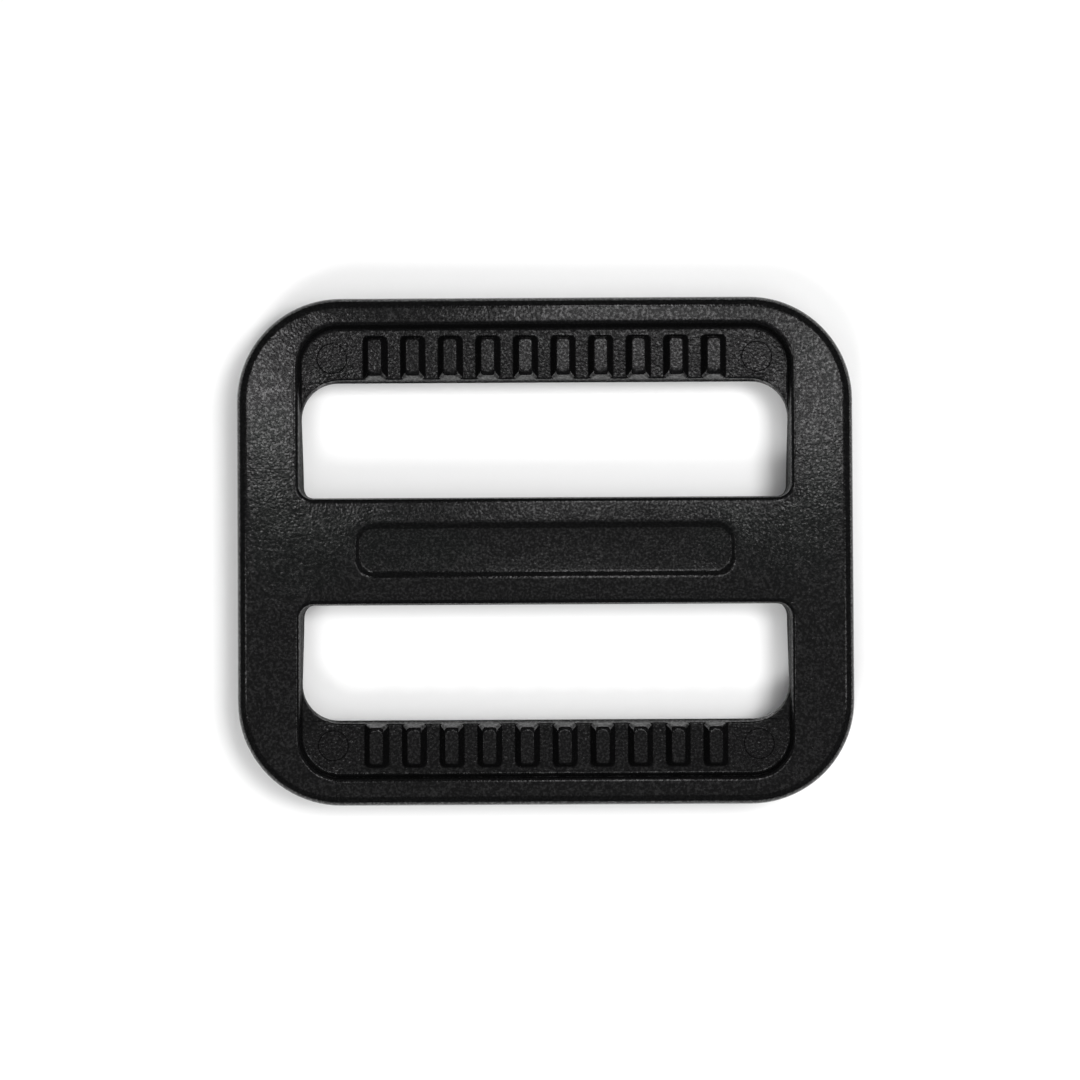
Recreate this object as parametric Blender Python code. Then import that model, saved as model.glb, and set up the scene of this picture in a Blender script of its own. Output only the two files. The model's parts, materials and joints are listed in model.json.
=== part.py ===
"""Tri-glide slider for 40 mm webbing: one moulded plastic frame with two slots.

The ribbed face is up (+Z), the webbing runs along Y and the long side lies along X.
The origin is under the middle of the centre bar, on the surface that the slider rests on.
"""

import math

import bmesh
import bpy

MM = 0.001

# Outer frame. Sizes are taken at the parting line, where the frame is widest.
BODY_WIDTH = 51.6 * MM
BODY_LENGTH = 42.5 * MM
THICKNESS = 5.5 * MM
CORNER_RADIUS = 8.7 * MM
EDGE_RADIUS = 0.5 * MM
PARTING_Z = 3.8 * MM
DRAFT = math.tan(math.radians(2.0))
CORNER_STEPS = 10
FILLET_STEPS = 3

# Slots for the webbing, one on each side of the centre bar.
SLOT_WIDTH = 40.9 * MM
CENTRE_BAR = 8.9 * MM
SLOT_FAR_Y = 14.17 * MM
GRIP_SLOPE = 0.34
SLOT_NEAR_RADIUS = 1.1 * MM
SLOT_FAR_RADIUS = 3.1 * MM
SLOT_UNDER_RADIUS = 0.4 * MM
SLOT_STEPS = 6
WINDOW_RADIUS = 0.35 * MM

# Sunk shelf in each outer bar, open to the slot.
SHELF_DEPTH = 1.0 * MM
SHELF_FAR_Y = 18.68 * MM
SHELF_CORNER_RADIUS = 3.2 * MM
SHELF_WALL_SLOPE = math.tan(math.radians(15.0))

# Grip ribs on the shelves.
RIB_COUNT = 10
RIB_PITCH = 3.146 * MM
RIB_HEIGHT = 0.95 * MM
RIB_ROOT = 0.2 * MM
RIB_BASE_WIDTH = 2.05 * MM
RIB_TOP_WIDTH = 1.1 * MM
RIB_BACK_Y = 18.0 * MM
RIB_TOP_BACK_Y = 17.72 * MM
RIB_FRONT_Y = 13.8 * MM
RIB_EDGE = 0.12 * MM
RIB_CORNER_RADIUS = 0.25 * MM
RIB_STEPS = 2

# Shallow label panel in the centre bar.
LABEL_WIDTH = 31.3 * MM
LABEL_LENGTH = 4.1 * MM
LABEL_SHIFT = 0.1 * MM
LABEL_RADIUS = 1.4 * MM
LABEL_DEPTH = 0.3 * MM
LABEL_SLOPE = 0.17 * MM

# Witness marks that the ejector pins leave at the ends of the shelves.
MARK_RADIUS = 1.23 * MM
MARK_DEPTH = 0.05 * MM
MARK_X = 17.8 * MM
MARK_Y = 16.2 * MM
MARK_SIDES = 24

# The underside is deepest under the centre bar and rises to the outer bars.
RISE = 2.2 * MM
RISE_END_Y = SLOT_FAR_Y
RISE_STEPS = 6
RISE_FULL_Z = 0.5 * MM

OVERSHOOT = 1.0 * MM
CLEARANCE = 0.01 * MM
WELD = 0.0005 * MM
SMOOTH_ANGLE = math.radians(30.0)
PLASTIC_COLOUR = (0.006, 0.006, 0.0065, 1.0)
PLASTIC_ROUGHNESS = 0.35

SHELF_Z = THICKNESS - SHELF_DEPTH
HALF_SLOT = SLOT_WIDTH / 2
HALF_BAR = CENTRE_BAR / 2


def clear_scene():
    for existing in list(bpy.data.objects):
        bpy.data.objects.remove(existing, do_unlink=True)


def new_collection(name):
    collection = bpy.data.collections.new(name)
    bpy.context.scene.collection.children.link(collection)
    return collection


def make_helper(obj):
    """A helper shapes the body through a Boolean and is no part of the object."""
    obj.hide_render = True
    obj.display_type = "WIRE"


def wall_draft(z):
    """How far a wall leans back from the parting line at this height."""
    return DRAFT * abs(z - PARTING_Z)


def rounded_rectangle(x_low, x_high, y_low, y_high, radius_low, radius_high, steps):
    """Points of the outline, anticlockwise. The radii are those of the low-Y and high-Y corners."""
    corners = (
        (x_high, y_low, radius_low, -1, 1),
        (x_high, y_high, radius_high, 1, 1),
        (x_low, y_high, radius_high, 1, -1),
        (x_low, y_low, radius_low, -1, -1),
    )
    points = []
    for quarter, (x, y, radius, up, right) in enumerate(corners):
        for step in range(steps + 1):
            angle = math.radians(90) * (quarter - 1 + step / steps)
            centre_x = x - right * radius
            centre_y = y - up * radius
            points.append((centre_x + radius * math.cos(angle), centre_y + radius * math.sin(angle)))
    return points


def loft(name, rings, collection):
    """A closed solid through outlines with equal point counts, given as (points, z) from the bottom up."""
    bm = bmesh.new()
    loops = [[bm.verts.new((x, y, z)) for x, y in points] for points, z in rings]
    for lower, upper in zip(loops, loops[1:]):
        for i in range(len(lower)):
            j = (i + 1) % len(lower)
            bm.faces.new((lower[i], lower[j], upper[j], upper[i]))
    bm.faces.new(reversed(loops[0]))
    bm.faces.new(loops[-1])
    mesh = bpy.data.meshes.new(name)
    bm.to_mesh(mesh)
    bm.free()
    obj = bpy.data.objects.new(name, mesh)
    collection.objects.link(obj)
    return obj


def frame_outline(offset):
    half_width = BODY_WIDTH / 2 + offset
    half_length = BODY_LENGTH / 2 + offset
    radius = CORNER_RADIUS + offset
    return rounded_rectangle(
        -half_width, half_width, -half_length, half_length, radius, radius, CORNER_STEPS
    )


def make_frame(collection):
    """The solid plate: rounded edges below and above, and walls that lean back from the parting line."""
    rings = []
    low_lean = -wall_draft(EDGE_RADIUS) - EDGE_RADIUS
    high_lean = -wall_draft(THICKNESS - EDGE_RADIUS) - EDGE_RADIUS
    for step in range(FILLET_STEPS + 1):
        angle = math.radians(90) * (step / FILLET_STEPS - 1)
        offset = low_lean + EDGE_RADIUS * math.cos(angle)
        rings.append((frame_outline(offset), EDGE_RADIUS * (1 + math.sin(angle))))
    rings.append((frame_outline(0.0), PARTING_Z))
    for step in range(FILLET_STEPS + 1):
        angle = math.radians(90) * step / FILLET_STEPS
        offset = high_lean + EDGE_RADIUS * math.cos(angle)
        rings.append((frame_outline(offset), THICKNESS - EDGE_RADIUS * (1 - math.sin(angle))))
    return loft("slider_body", rings, collection)


def window_cutter(side, collection):
    """Sinks the shelf and the top of the slot together, with a rounded brim. Side is 1 at +Y, -1 at -Y."""
    rings = []

    def add_ring(brim, far_y, z):
        half_width = HALF_SLOT + wall_draft(z) + brim
        near_y = HALF_BAR - wall_draft(z) - brim
        outline = rounded_rectangle(
            -half_width,
            half_width,
            near_y,
            far_y + brim,
            SLOT_NEAR_RADIUS + brim,
            SHELF_CORNER_RADIUS + brim,
            SLOT_STEPS,
        )
        rings.append((turned(outline, side), z))

    add_ring(0.0, SHELF_FAR_Y, SHELF_Z)
    brim_z = THICKNESS - WINDOW_RADIUS
    for step in range(FILLET_STEPS + 1):
        angle = math.radians(90) * step / FILLET_STEPS
        z = brim_z + WINDOW_RADIUS * math.sin(angle)
        far_y = SHELF_FAR_Y + SHELF_WALL_SLOPE * (brim_z - SHELF_Z)
        add_ring(WINDOW_RADIUS * (1 - math.cos(angle)), far_y, z)
    rings.append((rings[-1][0], THICKNESS + OVERSHOOT))
    return loft(f"window_cutter_{side}", rings, collection)


def slot_cutter(side, collection):
    """Goes right through, narrowest at the parting line. Its leaning far wall trims the ribs' fronts."""
    rings = []

    def add_ring(grow, z):
        lean = max(GRIP_SLOPE * (z - PARTING_Z), grow)
        outline = rounded_rectangle(
            -HALF_SLOT - grow,
            HALF_SLOT + grow,
            HALF_BAR - grow,
            SLOT_FAR_Y + lean,
            SLOT_NEAR_RADIUS + grow,
            SLOT_FAR_RADIUS + lean,
            SLOT_STEPS,
        )
        rings.append((turned(outline, side), z))

    mouth = wall_draft(SLOT_UNDER_RADIUS) + SLOT_UNDER_RADIUS
    add_ring(mouth, -OVERSHOOT)
    for step in range(FILLET_STEPS + 1):
        angle = math.radians(90) * (step / FILLET_STEPS - 1)
        grow = mouth - SLOT_UNDER_RADIUS * math.cos(angle)
        add_ring(grow, SLOT_UNDER_RADIUS * (1 + math.sin(angle)))
    add_ring(0.0, PARTING_Z)
    add_ring(wall_draft(SHELF_Z) - CLEARANCE, SHELF_Z)
    add_ring(wall_draft(SHELF_Z) - CLEARANCE, THICKNESS + OVERSHOOT)
    return loft(f"slot_cutter_{side}", rings, collection)


def turned(outline, side):
    """The outline as it is at +Y, or turned half round the Z axis for -Y."""
    return [(side * x, side * y) for x, y in outline]


def make_rib(index, side, collection):
    """One tapered rib, rooted in the shelf. Its front runs past the slot's wall, which trims it."""
    centre_x = (index - (RIB_COUNT - 1) / 2) * RIB_PITCH
    flank = (RIB_BASE_WIDTH - RIB_TOP_WIDTH) / 2 / RIB_HEIGHT
    back = (RIB_BACK_Y - RIB_TOP_BACK_Y) / RIB_HEIGHT
    top_z = SHELF_Z + RIB_HEIGHT
    rings = []

    def add_ring(inset, z):
        below_top = top_z - z
        half_width = RIB_TOP_WIDTH / 2 + flank * below_top - inset
        outline = rounded_rectangle(
            centre_x - half_width,
            centre_x + half_width,
            RIB_FRONT_Y,
            RIB_TOP_BACK_Y + back * below_top - inset,
            RIB_CORNER_RADIUS - inset,
            RIB_CORNER_RADIUS - inset,
            RIB_STEPS,
        )
        rings.append((turned(outline, side), z))

    add_ring(0.0, SHELF_Z - RIB_ROOT)
    add_ring(0.0, top_z - RIB_EDGE)
    add_ring(RIB_EDGE, top_z)
    return loft(f"rib_{side}_{index}", rings, collection)


def label_cutter(collection):
    rings = []
    for grow, z in (
        (-LABEL_SLOPE, THICKNESS - LABEL_DEPTH),
        (LABEL_SLOPE, THICKNESS),
        (LABEL_SLOPE, THICKNESS + OVERSHOOT),
    ):
        half_width = LABEL_WIDTH / 2 + grow
        half_length = LABEL_LENGTH / 2 + grow
        radius = LABEL_RADIUS + grow
        outline = rounded_rectangle(
            -half_width,
            half_width,
            LABEL_SHIFT - half_length,
            LABEL_SHIFT + half_length,
            radius,
            radius,
            SLOT_STEPS,
        )
        rings.append((outline, z))
    return loft("label_cutter", rings, collection)


def mark_cutter(side_x, side_y, collection):
    height = SHELF_DEPTH + MARK_DEPTH
    bpy.ops.mesh.primitive_cylinder_add(
        vertices=MARK_SIDES,
        radius=MARK_RADIUS,
        depth=height,
        location=(side_x * MARK_X, side_y * MARK_Y, SHELF_Z - MARK_DEPTH + height / 2),
    )
    obj = bpy.context.object
    obj.name = f"mark_cutter_{side_x}_{side_y}"
    for owner in list(obj.users_collection):
        owner.objects.unlink(obj)
    collection.objects.link(obj)
    return obj


def add_boolean(body, operation, collection):
    modifier = body.modifiers.new(collection.name, "BOOLEAN")
    modifier.operation = operation
    modifier.solver = "EXACT"
    modifier.operand_type = "COLLECTION"
    modifier.collection = collection


def bake_modifiers(body):
    """Replaces the body's mesh by what its modifiers make of it."""
    graph = bpy.context.evaluated_depsgraph_get()
    mesh = bpy.data.meshes.new_from_object(body.evaluated_get(graph))
    mesh.name = body.name
    body.modifiers.clear()
    body.data = mesh


def rise_at(y):
    """Height of the underside at this distance from the centre bar's middle: flat, then an S-shaped ramp."""
    run = (abs(y) - HALF_BAR) / (RISE_END_Y - HALF_BAR)
    run = min(max(run, 0.0), 1.0)
    return RISE * run * run * (3 - 2 * run)


def raise_underside(body):
    """Cuts the mesh along X at each step of the ramp, then lifts everything below the parting line."""
    bm = bmesh.new()
    bm.from_mesh(body.data)
    for side in (1, -1):
        for step in range(RISE_STEPS + 1):
            y = side * (HALF_BAR + (RISE_END_Y - HALF_BAR) * step / RISE_STEPS)
            geometry = bm.verts[:] + bm.edges[:] + bm.faces[:]
            bmesh.ops.bisect_plane(bm, geom=geometry, dist=WELD, plane_co=(0, y, 0), plane_no=(0, 1, 0))
    for vert in bm.verts:
        share = (PARTING_Z - vert.co.z) / (PARTING_Z - RISE_FULL_Z)
        vert.co.z += rise_at(vert.co.y) * min(max(share, 0.0), 1.0)
    bmesh.ops.remove_doubles(bm, verts=bm.verts[:], dist=WELD)
    bmesh.ops.triangulate(bm, faces=[face for face in bm.faces if len(face.verts) > 4])
    bm.to_mesh(body.data)
    bm.free()


def black_plastic():
    material = bpy.data.materials.new("black_plastic")
    material.use_nodes = True
    shader = material.node_tree.nodes["Principled BSDF"]
    shader.inputs["Base Color"].default_value = PLASTIC_COLOUR
    shader.inputs["Roughness"].default_value = PLASTIC_ROUGHNESS
    shader.inputs["Metallic"].default_value = 0.0
    return material


def main():
    clear_scene()
    slider = new_collection("webbing_slider")
    windows = new_collection("window_cutters")
    ribs = new_collection("ribs")
    openings = new_collection("slot_and_panel_cutters")

    body = make_frame(slider)
    for side in (1, -1):
        make_helper(window_cutter(side, windows))
        make_helper(slot_cutter(side, openings))
        for index in range(RIB_COUNT):
            make_helper(make_rib(index, side, ribs))
        for side_x in (1, -1):
            make_helper(mark_cutter(side_x, side, openings))
    make_helper(label_cutter(openings))

    add_boolean(body, "DIFFERENCE", windows)
    add_boolean(body, "UNION", ribs)
    add_boolean(body, "DIFFERENCE", openings)
    bake_modifiers(body)
    raise_underside(body)

    body.data.materials.clear()
    body.data.materials.append(black_plastic())
    body.data.shade_smooth()
    body.data.set_sharp_from_angle(angle=SMOOTH_ANGLE)


main()
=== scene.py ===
"""The looks of a tri-glide webbing slider: one fine moulded body in grained black plastic.

The ribbed face is up (+Z), the webbing runs along Y and the long side lies along X. Lengths are in metres.
"""

import json
import math

import bmesh
import bpy
from mathutils import Matrix, Vector

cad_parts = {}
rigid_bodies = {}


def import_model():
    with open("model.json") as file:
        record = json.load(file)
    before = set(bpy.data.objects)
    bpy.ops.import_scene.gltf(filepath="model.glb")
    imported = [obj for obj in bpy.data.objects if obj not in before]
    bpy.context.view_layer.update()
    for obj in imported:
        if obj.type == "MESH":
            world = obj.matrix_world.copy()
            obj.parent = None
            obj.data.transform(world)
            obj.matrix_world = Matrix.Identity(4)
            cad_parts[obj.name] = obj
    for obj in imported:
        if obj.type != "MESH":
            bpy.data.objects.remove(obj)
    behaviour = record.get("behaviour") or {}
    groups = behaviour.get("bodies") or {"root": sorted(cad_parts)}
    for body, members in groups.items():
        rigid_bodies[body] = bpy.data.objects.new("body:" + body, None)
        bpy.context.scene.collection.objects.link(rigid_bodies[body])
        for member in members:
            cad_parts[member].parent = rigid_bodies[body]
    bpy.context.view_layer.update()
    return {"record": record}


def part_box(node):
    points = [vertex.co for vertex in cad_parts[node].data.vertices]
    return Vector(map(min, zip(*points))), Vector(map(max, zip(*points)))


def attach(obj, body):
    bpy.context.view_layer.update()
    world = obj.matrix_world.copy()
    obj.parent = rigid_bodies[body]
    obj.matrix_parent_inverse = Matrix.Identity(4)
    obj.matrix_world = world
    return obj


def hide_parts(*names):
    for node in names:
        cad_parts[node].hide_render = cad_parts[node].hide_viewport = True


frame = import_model()

MM = 0.001
QUARTER_TURN = math.radians(90)

# Sizes that the frame gives.
BODY_NODE = "slider_body"
HALF_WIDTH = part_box(BODY_NODE)[1].x
HALF_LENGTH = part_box(BODY_NODE)[1].y
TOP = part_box(BODY_NODE)[1].z
MOUNT_AT = {mount["name"]: Vector(mount["pos_m"]) for mount in frame["record"]["mounts"]}
LABEL_FLOOR = MOUNT_AT["label_panel"].z
RIB_TOP = MOUNT_AT["back_rib_tops"].z
RIB_PITCH = 2 * MOUNT_AT["back_rib_tops"].x

# Outer frame. The walls lean back from the parting line, where a fine flash stands out.
# The flash profiles are heights in half heights of the flash, and insets in depths of the flash.
CORNER_RADIUS = 8.7 * MM
TOP_EDGE = 0.97 * MM
FOOT_EDGE = 0.5 * MM
PARTING = 3.8 * MM
FLASH = 0.03 * MM
FLASH_HALF_HEIGHT = 0.05 * MM
FLASH_PROFILE = ((-2, 1), (-1, 1 / 3), (-0.3, 0), (0.3, 0), (1, 1 / 3), (2, 1))
SLOT_FLASH_PROFILE = ((-2, 0), (-0.3, 1), (0.3, 1), (2, 0))
FLASH_TOP = PARTING + 2 * FLASH_HALF_HEIGHT
FLASH_FOOT = PARTING - 2 * FLASH_HALF_HEIGHT
DRAFT = math.tan(math.radians(2.0))
CORNER_STEPS = 22
EDGE_STEPS = 9

# Slots for the webbing.
HALF_SLOT = 20.45 * MM
HALF_BAR = 4.47 * MM
SLOT_FAR = 14.17 * MM
GRIP_SLOPE = 0.34
SLOT_NEAR_RADIUS = 1.1 * MM
SLOT_FAR_RADIUS = 3.1 * MM
SLOT_STEPS = 12
SLOT_BRIM = 0.45 * MM
SLOT_FOOT = 0.4 * MM
STEP_BACK = 0.014 * MM

# Sunk shelf in each outer bar, open to the slot.
SHELF = TOP - 1.0 * MM
SHELF_FAR = 18.665 * MM
SHELF_RADIUS = 3.2 * MM
SHELF_SLOPE = math.tan(math.radians(15.0))
SHELF_BRIM = 0.42 * MM
SHELF_FILLET = 0.28 * MM
SHELF_LIP = 0.2 * MM

# Grip ribs. Slopes are run over height.
RIB_COUNT = 10
RIB_TOP_HALF = 0.55 * MM
RIB_FLANK_SLOPE = 0.5
RIB_BACK = 17.72 * MM
RIB_BACK_SLOPE = 0.3
RIB_RECESS = 0.003 * MM
RIB_BROW = 0.15 * MM
RIB_FRONT_BROW = 0.38 * MM
RIB_ROOT = 0.18 * MM
RIB_BURIED = 0.3 * MM
RIB_FRONT_CORNER_LOW = 0.25 * MM
RIB_FRONT_CORNER_HIGH = 0.45 * MM
RIB_CORNER = 0.26 * MM
RIB_CORNER_GROWTH = 0.3
RIB_CORNER_STEPS = 4

# Label panel.
LABEL_HALF_WIDTH = 15.65 * MM
LABEL_HALF_LENGTH = 2.05 * MM
LABEL_SHIFT = 0.1 * MM
LABEL_RADIUS = 1.4 * MM
LABEL_SLOPE = 1.11
LABEL_FILLET = 0.57 * MM

# Witness marks of the ejector pins: a disc sunk a hair below the shelf, inside a fine groove.
MARK_X = 17.8 * MM
MARK_Y = 16.2 * MM
MARK_RADIUS = 1.2 * MM
MARK_DEPTH = 0.02 * MM
MARK_GROOVE_WIDTH = 0.09 * MM
MARK_GROOVE_DEPTH = 0.06 * MM
MARK_SIDES = 72

# The underside rises from the centre bar to the outer bars.
RISE = 2.2 * MM
RISE_STEPS = 16
RISE_FULL = 0.5 * MM

# Flats that are not quite flat: tilted shelves, a crowned bar, and a label floor that sank as it cooled.
SHELF_TILT = 0.042
RIB_TILT_SHARE = 0.35
CROWN_DROP = 0.1 * MM
LABEL_SINK = 0.07 * MM
RELIEF_STEP = 0.4 * MM
RELIEF_X = [16.3 * MM, 17.5 * MM, 18.7 * MM, 19.9 * MM, 21.1 * MM]
RIB_ROW_END = 15.8 * MM

OVERSHOOT = 1.0 * MM
WELD = 0.0002 * MM
SHARP_ANGLE = math.radians(32.0)
FLAT_WEIGHT = 100

# Black plastic. The sheen values are shares of the full specular level.
PLASTIC_IOR = 1.48
GRAIN_SIZE = 0.23 * MM
GRAIN_DEPTH = 0.014 * MM
WALL_GRAIN = 0.12
SHELF_GRAIN = 2.6
WAVE_SIZE = 2.5 * MM
WAVE_DEPTH = 0.02 * MM
GLOSS_SIZE = 1.3 * MM
GLOSS_LOW = 0.12
GLOSS_HIGH = 0.17
WALL_ROUGHNESS = 0.75
PIT_SIZE = 0.2 * MM
# Painted shade in the grain's pitted spots: there the sheen drops to this share.
PIT_PAINTED_SHADE_SHEEN = 0.22
SHELF_SHEEN = 0.84
# The tone differs at random with the grain; the darker one, in the pitted spots, is partly painted shade.
PIT_TONE_AND_PAINTED_SHADE = (0.0025, 0.0025, 0.0026, 1.0)
LIGHT_TONE = (0.0042, 0.0042, 0.0044, 1.0)

# Floor, light and camera.
FLOOR_COLOUR = (0.88, 0.88, 0.88, 1.0)
FLOOR_ROUGHNESS = 0.9
FLOOR_SHEEN = 0.2
FLOOR_HALF_SIZE = 1.5
PANEL_HEIGHT = 135
WORLD_LIGHT = 0.07
WORLD_SEEN = 0.9
CAMERA_PLACE = (-0.05 * MM, -2.5 * MM, 205.5 * MM)
CAMERA_ROLL = math.radians(0.308)
CAMERA_PITCH = math.radians(-0.97)
CAMERA_YAW = math.radians(-0.11)
SENSOR_WIDTH = 36.0
LENS = 80.1
NEAREST = 0.01
FARTHEST = 10.0


def rounding(distance, slope, radius):
    """How far a rounded corner stands off a leaning wall, at a distance along Z from the flat they meet."""
    lean = math.atan(slope)
    if distance >= radius * (1 - math.sin(lean)):
        return 0.0
    tangent = radius * math.tan((QUARTER_TURN - lean) / 2)
    return slope * distance + tangent - math.sqrt(radius**2 - (radius - distance) ** 2)


def arc_heights(slope, radius, steps):
    """Distances along Z from the flat, at even turns of the same corner's arc."""
    turn = QUARTER_TURN - math.atan(slope)
    return [radius * (1 - math.cos(turn * step / steps)) for step in range(steps + 1)]


def wall_draft(z):
    return DRAFT * abs(z - PARTING)


def grip_plane(z):
    """How far out the slots' far walls are at this height. The fronts of the ribs lie in the same plane."""
    if z > PARTING:
        return SLOT_FAR + GRIP_SLOPE * (z - PARTING)
    return SLOT_FAR + wall_draft(z)


def rounded_rectangle(x_low, x_high, y_low, y_high, radius_low, radius_high, steps):
    """Points of the outline, anticlockwise. The radii are those of the low-Y and high-Y corners."""
    corners = (
        (x_high, y_low, radius_low, -1, 1),
        (x_high, y_high, radius_high, 1, 1),
        (x_low, y_high, radius_high, 1, -1),
        (x_low, y_low, radius_low, -1, -1),
    )
    points = []
    for quarter, (x, y, radius, up, right) in enumerate(corners):
        for step in range(steps + 1):
            angle = QUARTER_TURN * (quarter - 1 + step / steps)
            centre_x = x - right * radius
            centre_y = y - up * radius
            points.append((centre_x + radius * math.cos(angle), centre_y + radius * math.sin(angle)))
    return points


def turned(outline, side):
    """The outline as it is at +Y, or turned half round the Z axis for -Y."""
    return [(side * x, side * y) for x, y in outline]


def loft(name, rings, collection):
    """A closed solid through outlines with equal point counts, given as (points, z) from the bottom up."""
    bm = bmesh.new()
    loops = [[bm.verts.new((x, y, z)) for x, y in points] for points, z in rings]
    for lower, upper in zip(loops, loops[1:]):
        for i in range(len(lower)):
            j = (i + 1) % len(lower)
            bm.faces.new((lower[i], lower[j], upper[j], upper[i]))
    bm.faces.new(reversed(loops[0]))
    bm.faces.new(loops[-1])
    mesh = bpy.data.meshes.new(name)
    bm.to_mesh(mesh)
    bm.free()
    obj = bpy.data.objects.new(name, mesh)
    collection.objects.link(obj)
    return obj


def frame_solid(collection):
    foot = arc_heights(DRAFT, FOOT_EDGE, EDGE_STEPS)
    edge = [TOP - height for height in reversed(arc_heights(DRAFT, TOP_EDGE, EDGE_STEPS))]
    profile = []
    for z in foot + edge:
        offset = -wall_draft(z) - rounding(z, DRAFT, FOOT_EDGE) - rounding(TOP - z, DRAFT, TOP_EDGE)
        profile.append((offset - FLASH, z))
    for height, inset in FLASH_PROFILE:
        profile.append((-inset * FLASH, PARTING + height * FLASH_HALF_HEIGHT))
    profile.sort(key=lambda point: point[1])
    rings = []
    for offset, z in profile:
        half_width = HALF_WIDTH + offset
        half_length = HALF_LENGTH + offset
        radius = CORNER_RADIUS + offset
        outline = rounded_rectangle(
            -half_width, half_width, -half_length, half_length, radius, radius, CORNER_STEPS
        )
        rings.append((outline, z))
    return loft("slider_shell", rings, collection)


def window_cutter(side, collection):
    """Sinks the shelf and the top of the slot together. Side is 1 at +Y, -1 at -Y."""
    heights = [SHELF + height for height in arc_heights(SHELF_SLOPE, SHELF_FILLET, EDGE_STEPS)]
    heights += [TOP - height for height in reversed(arc_heights(SHELF_SLOPE, SHELF_BRIM, EDGE_STEPS))]
    heights += [TOP - height for height in arc_heights(DRAFT, SLOT_BRIM, EDGE_STEPS)[1:]]
    rings = []
    for z in sorted(heights):
        side_grow = wall_draft(z) + rounding(TOP - z, DRAFT, SLOT_BRIM)
        side_grow_low = rounding(z - SHELF, DRAFT, SHELF_FILLET)
        far_grow = SHELF_SLOPE * (z - SHELF) + rounding(TOP - z, SHELF_SLOPE, SHELF_BRIM)
        far_grow -= rounding(z - SHELF, SHELF_SLOPE, SHELF_FILLET)
        half_width = HALF_SLOT + side_grow - side_grow_low
        outline = rounded_rectangle(
            -half_width,
            half_width,
            HALF_BAR - side_grow,
            SHELF_FAR + far_grow,
            SLOT_NEAR_RADIUS + side_grow,
            SHELF_RADIUS + far_grow,
            SLOT_STEPS,
        )
        rings.append((turned(outline, side), z))
    rings.append((rings[-1][0], TOP + OVERSHOOT))
    return loft(f"window_cutter_{side}", rings, collection)


def slot_outline(side, grow, far):
    """The slot at one height, grown all round, with its far wall at the given distance."""
    outline = rounded_rectangle(
        -HALF_SLOT - grow,
        HALF_SLOT + grow,
        HALF_BAR - grow,
        far,
        SLOT_NEAR_RADIUS + grow,
        SLOT_FAR_RADIUS + far - SLOT_FAR,
        SLOT_STEPS,
    )
    return turned(outline, side)


def lip_cutter(side, collection):
    """Rounds the edge where the shelf breaks off into the slot, before the ribs are put on it."""
    rings = []
    for height in reversed(arc_heights(GRIP_SLOPE, SHELF_LIP, EDGE_STEPS)):
        z = SHELF - height
        far = grip_plane(z) + rounding(height, GRIP_SLOPE, SHELF_LIP) - RIB_RECESS
        rings.append((slot_outline(side, wall_draft(z) - 2 * STEP_BACK, far), z))
    rings.append((rings[-1][0], SHELF + STEP_BACK))
    return loft(f"lip_cutter_{side}", rings, collection)


def slot_cutter(side, collection):
    """Goes right through, narrowest at the parting line, with a fine flash there."""
    rings = []
    for height in arc_heights(DRAFT, SLOT_FOOT, EDGE_STEPS):
        brim = rounding(height, DRAFT, SLOT_FOOT)
        outline = slot_outline(side, wall_draft(height) + brim, grip_plane(height) + brim)
        if not rings:
            rings.append((outline, -OVERSHOOT))
        rings.append((outline, height))
    for height, inset in SLOT_FLASH_PROFILE:
        z = PARTING + height * FLASH_HALF_HEIGHT
        shrink = inset * FLASH
        rings.append((slot_outline(side, wall_draft(z) - shrink, grip_plane(z) - shrink), z))
    for z in (SHELF - SHELF_LIP, SHELF, TOP + OVERSHOOT):
        rings.append((slot_outline(side, wall_draft(SHELF) - STEP_BACK, grip_plane(z)), z))
    return loft(f"slot_cutter_{side}", rings, collection)


def grip_rib(index, side, collection):
    """One tapered rib with a soft top edge, flared into the shelf. Its front carries on the slot's wall."""
    centre_x = (index - (RIB_COUNT - 1) / 2) * RIB_PITCH
    heights = [SHELF - RIB_BURIED]
    heights += [SHELF + height for height in arc_heights(RIB_FLANK_SLOPE, RIB_ROOT, EDGE_STEPS)]
    brow = set(arc_heights(RIB_FLANK_SLOPE, RIB_BROW, EDGE_STEPS))
    brow |= set(arc_heights(GRIP_SLOPE, RIB_FRONT_BROW, EDGE_STEPS))
    heights += [RIB_TOP - height for height in sorted(brow, reverse=True)]

    def face(z, slope):
        """How far a leaning face stands out from its line at the rib's top."""
        depth = RIB_TOP - z
        height = max(z - SHELF, 0.0)
        if z < SHELF:
            depth = RIB_TOP - SHELF
        return slope * depth - rounding(depth, slope, RIB_BROW) + rounding(height, slope, RIB_ROOT)

    rings = []
    for z in heights:
        rise = max(z - SHELF, 0.0) / (RIB_TOP - SHELF)
        front_corner = RIB_FRONT_CORNER_LOW + (RIB_FRONT_CORNER_HIGH - RIB_FRONT_CORNER_LOW) * rise
        half_width = RIB_TOP_HALF + face(z, RIB_FLANK_SLOPE)
        corner = RIB_CORNER + RIB_CORNER_GROWTH * face(z, RIB_FLANK_SLOPE)
        outline = rounded_rectangle(
            centre_x - half_width,
            centre_x + half_width,
            grip_plane(z) + rounding(RIB_TOP - z, GRIP_SLOPE, RIB_FRONT_BROW) + RIB_RECESS,
            RIB_BACK + face(z, RIB_BACK_SLOPE),
            front_corner,
            corner,
            RIB_CORNER_STEPS,
        )
        rings.append((turned(outline, side), z))
    return loft(f"rib_{side}_{index}", rings, collection)


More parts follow.
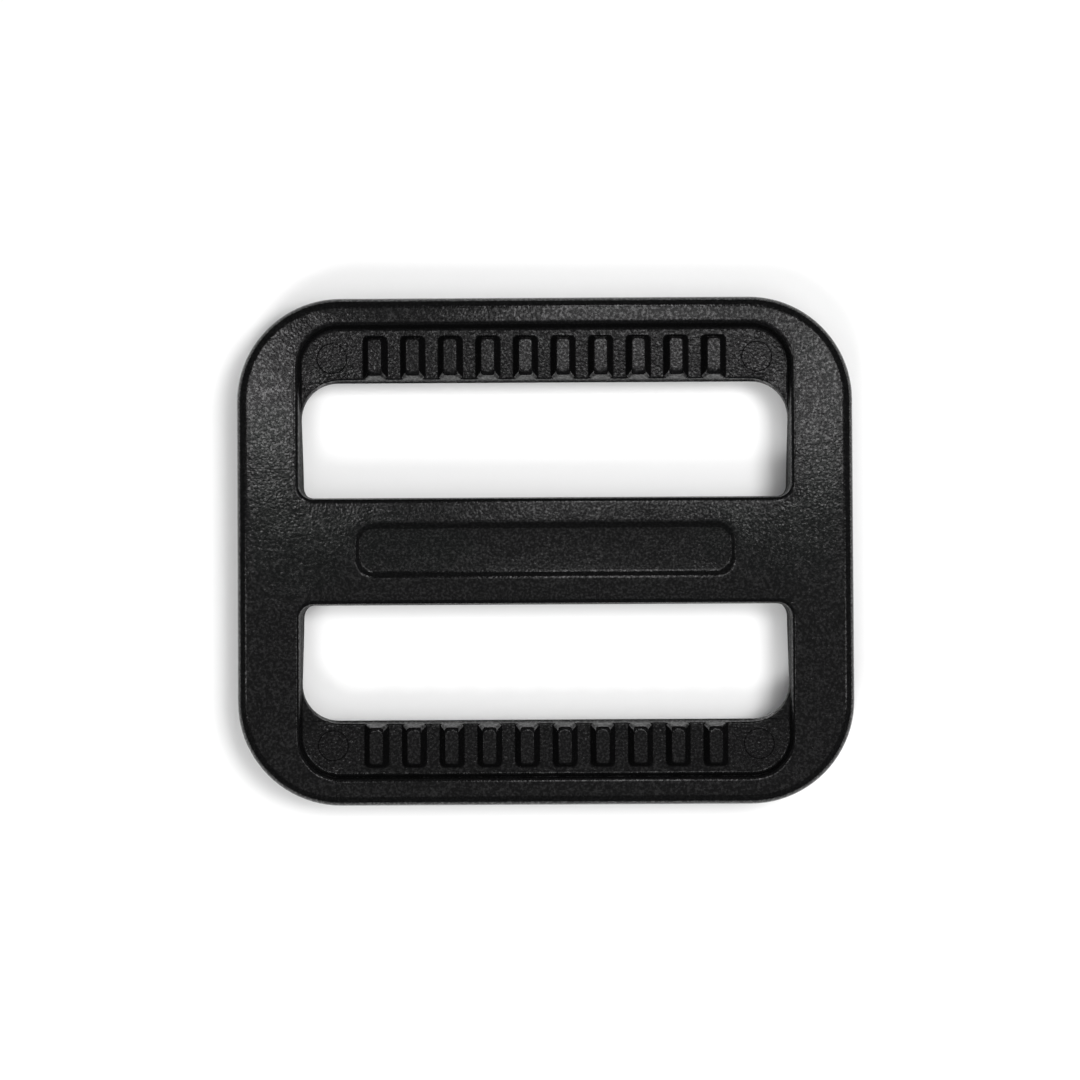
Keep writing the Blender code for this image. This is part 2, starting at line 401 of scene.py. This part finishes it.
def label_cutter(collection):
    arc = arc_heights(LABEL_SLOPE, LABEL_FILLET, EDGE_STEPS)
    heights = [LABEL_FLOOR + height for height in arc] + [TOP - height for height in reversed(arc)]
    middle = (TOP + LABEL_FLOOR) / 2
    rings = []
    for z in heights + [TOP + OVERSHOOT]:
        level = min(z, TOP)
        grow = LABEL_SLOPE * (level - middle) + rounding(TOP - level, LABEL_SLOPE, LABEL_FILLET)
        grow -= rounding(level - LABEL_FLOOR, LABEL_SLOPE, LABEL_FILLET)
        half_width = LABEL_HALF_WIDTH + grow
        half_length = LABEL_HALF_LENGTH + grow
        radius = LABEL_RADIUS + grow
        outline = rounded_rectangle(
            -half_width,
            half_width,
            LABEL_SHIFT - half_length,
            LABEL_SHIFT + half_length,
            radius,
            radius,
            SLOT_STEPS,
        )
        rings.append((outline, z))
    return loft("label_cutter", rings, collection)


def mark_cutter(side_x, side_y, collection):
    """A turned cutter: the disc's face, the groove round it, and a shaft that clears the shelf."""
    groove_middle = MARK_RADIUS + MARK_GROOVE_WIDTH / 2
    profile = (
        (MARK_RADIUS, SHELF - MARK_DEPTH),
        (groove_middle, SHELF - MARK_GROOVE_DEPTH),
        (MARK_RADIUS + MARK_GROOVE_WIDTH, SHELF),
        (MARK_RADIUS + MARK_GROOVE_WIDTH, TOP + OVERSHOOT),
    )
    rings = []
    for radius, z in profile:
        points = []
        for step in range(MARK_SIDES):
            angle = 2 * math.pi * step / MARK_SIDES
            x = side_x * MARK_X + radius * math.cos(angle)
            points.append((x, side_y * MARK_Y + radius * math.sin(angle)))
        rings.append((points, z))
    return loft(f"mark_cutter_{side_x}_{side_y}", rings, collection)


def add_boolean(body, operation, collection):
    modifier = body.modifiers.new(collection.name, "BOOLEAN")
    modifier.operation = operation
    modifier.solver = "EXACT"
    modifier.operand_type = "COLLECTION"
    modifier.collection = collection


def bake_modifiers(body):
    """Replaces the body's mesh by what its modifiers make of it."""
    graph = bpy.context.evaluated_depsgraph_get()
    mesh = bpy.data.meshes.new_from_object(body.evaluated_get(graph))
    mesh.name = body.name
    body.modifiers.clear()
    body.data = mesh


def rise_at(y):
    """Height of the underside this far from the centre bar's middle: flat, then an S-shaped ramp."""
    run = min(max((abs(y) - HALF_BAR) / (SLOT_FAR - HALF_BAR), 0.0), 1.0)
    return RISE * run * run * (3 - 2 * run)


def raise_underside(body):
    """Cuts the mesh along X at each step of the ramp, then lifts everything below the parting line."""
    bm = bmesh.new()
    bm.from_mesh(body.data)
    for side in (1, -1):
        for step in range(RISE_STEPS + 1):
            y = side * (HALF_BAR + (SLOT_FAR - HALF_BAR) * step / RISE_STEPS)
            geometry = bm.verts[:] + bm.edges[:] + bm.faces[:]
            bmesh.ops.bisect_plane(bm, geom=geometry, dist=WELD, plane_co=(0, y, 0), plane_no=(0, 1, 0))
    for vert in bm.verts:
        share = (FLASH_FOOT - vert.co.z) / (FLASH_FOOT - RISE_FULL)
        vert.co.z += rise_at(vert.co.y) * min(max(share, 0.0), 1.0)
    bmesh.ops.remove_doubles(bm, verts=bm.verts[:], dist=WELD)
    bmesh.ops.triangulate(bm, faces=[face for face in bm.faces if len(face.verts) > 4])
    bm.to_mesh(body.data)
    bm.free()


def ramp(value, start, end):
    """From 0 at the start to 1 at the end, with soft ends."""
    share = min(max((value - start) / (end - start), 0.0), 1.0)
    return share * share * (3 - 2 * share)


def shelf_drop(x, y, z):
    """The shelves slope down to the slots, and the rib tops a little less."""
    over_shelf = abs(x) <= HALF_SLOT and SLOT_FAR <= abs(y) <= SHELF_FAR
    side_brim = abs(x) > RIB_ROW_END and z > TOP - SLOT_BRIM
    if side_brim or not over_shelf:
        return 0.0
    height = max(z - SHELF, 0.0) / (RIB_TOP - SHELF)
    share = 1 - (1 - RIB_TILT_SHARE) * height
    upper = ramp(z, FLASH_TOP, SHELF - SHELF_LIP)
    return SHELF_TILT * (SHELF_FAR - abs(y)) * share * upper


def bar_drop(x, y, z):
    """The centre bar's top is a shallow crown, and the floor of its panel is dished."""
    if abs(y) > HALF_BAR:
        return 0.0
    across = ramp(abs(x), RELIEF_X[-1], RELIEF_X[0])
    upper = ramp(z, FLASH_TOP, TOP - SLOT_BRIM)
    drop = CROWN_DROP * (y / HALF_BAR) ** 2 * across * upper
    run = (y - LABEL_SHIFT) / LABEL_HALF_LENGTH
    if abs(x) < LABEL_HALF_WIDTH and abs(run) < 1 and z < TOP - WELD:
        deep = (TOP - z) / (TOP - LABEL_FLOOR)
        ends = ramp(abs(x), LABEL_HALF_WIDTH, LABEL_HALF_WIDTH - LABEL_HALF_LENGTH)
        drop += LABEL_SINK * (1 - run**2) * min(deep, 1.0) * ends * ramp(z, PARTING, SHELF)
    return drop


def shape_flats(body):
    """Cuts the centre bar's top and panel into strips, then lowers the vertices of the uneven flats."""
    bm = bmesh.new()
    bm.from_mesh(body.data)
    cuts = [((side * x, 0, 0), (1, 0, 0)) for side in (1, -1) for x in RELIEF_X]
    strips = int(HALF_BAR / RELIEF_STEP)
    cuts += [((0, step * RELIEF_STEP, 0), (0, 1, 0)) for step in range(-strips, strips + 1)]
    for place, across in cuts:
        faces = [face for face in bm.faces if face.calc_center_median().z > PARTING]
        faces = [face for face in faces if min(abs(vert.co.y) for vert in face.verts) < HALF_BAR]
        geometry = faces + list(dict.fromkeys(edge for face in faces for edge in face.edges))
        geometry += list(dict.fromkeys(vert for face in faces for vert in face.verts))
        bmesh.ops.bisect_plane(bm, geom=geometry, dist=WELD, plane_co=place, plane_no=across)
    for vert in bm.verts:
        vert.co.z -= shelf_drop(*vert.co) + bar_drop(*vert.co)
    bmesh.ops.triangulate(bm, faces=[face for face in bm.faces if len(face.verts) > 4])
    bm.to_mesh(body.data)
    bm.free()


def new_collection(name):
    collection = bpy.data.collections.new(name)
    bpy.context.scene.collection.children.link(collection)
    return collection


def slider_shell():
    """The whole moulding, in place of the plain CAD body."""
    visual = new_collection("visual")
    windows = new_collection("window_cutters")
    ribs = new_collection("ribs")
    openings = new_collection("slot_and_panel_cutters")
    body = frame_solid(visual)
    for side in (1, -1):
        window_cutter(side, windows)
        lip_cutter(side, windows)
        slot_cutter(side, openings)
        for index in range(RIB_COUNT):
            grip_rib(index, side, ribs)
        for side_x in (1, -1):
            mark_cutter(side_x, side, openings)
    label_cutter(openings)

    add_boolean(body, "DIFFERENCE", windows)
    add_boolean(body, "UNION", ribs)
    add_boolean(body, "DIFFERENCE", openings)
    bake_modifiers(body)
    raise_underside(body)
    shape_flats(body)
    for helpers in (windows, ribs, openings):
        for helper in list(helpers.objects):
            bpy.data.objects.remove(helper, do_unlink=True)
        bpy.data.collections.remove(helpers)

    body.data.shade_smooth()
    body.data.set_sharp_from_angle(angle=SHARP_ANGLE)
    weighted = body.modifiers.new("even_flats", "WEIGHTED_NORMAL")
    weighted.mode = "FACE_AREA"
    weighted.weight = FLAT_WEIGHT
    weighted.keep_sharp = True
    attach(body, "root")
    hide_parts(BODY_NODE)
    return body


# --- materials -------------------------------------------------------------------------------------


def black_plastic():
    """Black acetal: fine pitted grain where the surface faces up or down, and duller steep walls. The
    pitted spots are painted darker and less shiny, as painted shade in their hollows; the tone also differs
    at random with the grain.
    """
    material = bpy.data.materials.new("black_plastic")
    material.use_nodes = True
    nodes = material.node_tree.nodes
    links = material.node_tree.links
    shader = nodes["Principled BSDF"]
    shader.inputs["IOR"].default_value = PLASTIC_IOR
    place = nodes.new("ShaderNodeTexCoord").outputs["Object"]

    def factor(sockets):
        return sockets["Factor"] if "Factor" in sockets else sockets["Fac"]

    def noise(size, detail, roughness):
        node = nodes.new("ShaderNodeTexNoise")
        node.inputs["Scale"].default_value = 1 / size
        node.inputs["Detail"].default_value = detail
        node.inputs["Roughness"].default_value = roughness
        links.new(place, node.inputs["Vector"])
        return factor(node.outputs)

    def spread(value, from_low, from_high, to_low, to_high):
        node = nodes.new("ShaderNodeMapRange")
        node.interpolation_type = "SMOOTHSTEP"
        for name, number in (
            ("From Min", from_low), ("From Max", from_high), ("To Min", to_low), ("To Max", to_high)
        ):
            node.inputs[name].default_value = number
        links.new(value, node.inputs["Value"])
        return node.outputs["Result"]

    def combine(operation, first, second):
        node = nodes.new("ShaderNodeMath")
        node.operation = operation
        links.new(first, node.inputs[0])
        links.new(second, node.inputs[1])
        return node.outputs["Value"]

    def parts(vector):
        node = nodes.new("ShaderNodeSeparateXYZ")
        links.new(vector, node.inputs["Vector"])
        return node.outputs

    def bumped(height, depth, under=None):
        node = nodes.new("ShaderNodeBump")
        node.inputs["Distance"].default_value = depth
        links.new(height, node.inputs["Height"])
        if under:
            links.new(under, node.inputs["Normal"])
        return node.outputs["Normal"]

    upness = parts(nodes.new("ShaderNodeNewGeometry").outputs["Normal"])["Z"]
    level = parts(place)["Z"]
    shelf_end = SHELF + 0.2 * MM
    rim_start = TOP - 0.4 * MM
    flat = spread(combine("MULTIPLY", upness, upness), 0.5, 0.94, WALL_GRAIN, 1.0)
    coarse = spread(level, shelf_end, rim_start, SHELF_GRAIN, 1.0)

    crests = noise(GRAIN_SIZE, 1.5, 0.5)
    grain = combine("MULTIPLY", combine("MULTIPLY", crests, flat), coarse)
    normal = bumped(grain, GRAIN_DEPTH)
    normal = bumped(noise(WAVE_SIZE, 1.0, 0.5), WAVE_DEPTH, normal)
    links.new(normal, shader.inputs["Normal"])

    gloss = spread(noise(GLOSS_SIZE, 2.0, 0.6), 0.3, 0.7, GLOSS_LOW, GLOSS_HIGH)
    wall = spread(upness, 0.05, 0.3, WALL_ROUGHNESS, 0.0)
    links.new(combine("ADD", gloss, wall), shader.inputs["Roughness"])

    # Where this noise is low, the pitted spots get less sheen and a darker tone: painted shade in the
    # grain.
    pits_and_painted_shade = noise(PIT_SIZE, 3.0, 0.65)
    # Surfaces sunk below the rim, the shelves and the valleys between the ribs, get less sheen and look
    # darker.
    sunk = spread(level, shelf_end, rim_start, SHELF_SHEEN, 1.0)
    sheen = combine("MULTIPLY", spread(pits_and_painted_shade, 0.44, 0.68, PIT_PAINTED_SHADE_SHEEN, 1.0), sunk)
    links.new(sheen, shader.inputs["Specular IOR Level"])

    # Tone that differs at random with the grain, darkest in the pitted spots as painted shade.
    tone = nodes.new("ShaderNodeValToRGB")
    tone.color_ramp.elements[0].position = 0.3
    tone.color_ramp.elements[0].color = PIT_TONE_AND_PAINTED_SHADE
    tone.color_ramp.elements[1].position = 0.75
    tone.color_ramp.elements[1].color = LIGHT_TONE
    links.new(pits_and_painted_shade, factor(tone.inputs))
    links.new(tone.outputs["Color"], shader.inputs["Base Color"])
    return material


def pale_floor():
    material = bpy.data.materials.new("pale_floor")
    material.use_nodes = True
    shader = material.node_tree.nodes["Principled BSDF"]
    shader.inputs["Base Color"].default_value = FLOOR_COLOUR
    shader.inputs["Roughness"].default_value = FLOOR_ROUGHNESS
    shader.inputs["Specular IOR Level"].default_value = FLOOR_SHEEN
    return material


# --- floor, light and camera -----------------------------------------------------------------------


def make_floor():
    bm = bmesh.new()
    bmesh.ops.create_grid(bm, x_segments=1, y_segments=1, size=FLOOR_HALF_SIZE)
    mesh = bpy.data.meshes.new("floor")
    bm.to_mesh(mesh)
    bm.free()
    floor = bpy.data.objects.new("floor", mesh)
    bpy.context.scene.collection.objects.link(floor)
    floor.data.materials.append(pale_floor())


def area_light(name, x, y, height, size, radiance):
    """A square soft light turned to the slider. Its place and its size are in millimetres."""
    place = Vector((x, y, height)) * MM
    data = bpy.data.lights.new(name, "AREA")
    data.shape = "SQUARE"
    data.size = size * MM
    data.energy = radiance * math.pi * data.size**2
    light = bpy.data.objects.new(name, data)
    light.location = place
    light.rotation_euler = place.to_track_quat("Z", "Y").to_euler()
    light.visible_camera = False
    bpy.context.scene.collection.objects.link(light)
    return light


def make_lights():
    """Small panels close above the slider give its sheen; large ones without sheen light the floor."""
    for name, x, y, size, radiance in (
        ("sheen_back_left", -50, 33, 22, 2.4),
        ("sheen_back_right", 52, 36, 28, 2.6),
        ("sheen_back", 12, 41, 34, 2.0),
        ("sheen_left", -37, 20, 15, 3.8),
        ("sheen_middle", 0, 20, 18, 1.1),
        ("sheen_right", 36, 20, 15, 3.3),
        ("sheen_far_back", 10, 84, 26, 4.0),
        ("sheen_side_left", -95, -12, 26, 2.0),
        ("sheen_side_right", 95, -12, 26, 2.0),
    ):
        area_light(name, x, y, PANEL_HEIGHT, size, radiance)
    area_light("sheen_top", 0, -20, 300, 260, 0.22)
    for name, x, y, height, size, radiance in (
        ("fill_right", 145, 40, 360, 130, 16.5),
        ("fill_front", -90, -235, 320, 110, 17.5),
        ("fill_top", 90, -70, 500, 350, 2.1),
    ):
        area_light(name, x, y, height, size, radiance).visible_glossy = False


def make_world():
    world = bpy.data.worlds.new("studio")
    bpy.context.scene.world = world
    world.use_nodes = True
    nodes = world.node_tree.nodes
    links = world.node_tree.links
    background = nodes["Background"]
    background.inputs["Color"].default_value = (1.0, 1.0, 1.0, 1.0)
    seen = nodes.new("ShaderNodeLightPath")
    strength = nodes.new("ShaderNodeMapRange")
    strength.inputs["To Min"].default_value = WORLD_LIGHT
    strength.inputs["To Max"].default_value = WORLD_SEEN
    links.new(seen.outputs["Is Camera Ray"], strength.inputs["Value"])
    links.new(strength.outputs["Result"], background.inputs["Strength"])


def make_camera():
    """Almost straight above the slider, a little towards -Y, and turned by a fraction of a degree."""
    data = bpy.data.cameras.new("camera")
    data.sensor_width = SENSOR_WIDTH
    data.lens = LENS
    data.clip_start = NEAREST
    data.clip_end = FARTHEST
    camera = bpy.data.objects.new("camera", data)
    roll = Matrix.Rotation(CAMERA_ROLL, 3, "Z")
    pitch = Matrix.Rotation(CAMERA_PITCH, 3, "X")
    yaw = Matrix.Rotation(CAMERA_YAW, 3, "Y")
    facing = (roll @ pitch @ yaw).transposed().to_4x4()
    camera.matrix_world = Matrix.Translation(CAMERA_PLACE) @ facing
    bpy.context.scene.collection.objects.link(camera)
    bpy.context.scene.camera = camera


shell = slider_shell()
shell.data.materials.clear()
shell.data.materials.append(black_plastic())
make_floor()
make_lights()
make_world()
make_camera()
bpy.context.scene.view_settings.view_transform = "Standard"
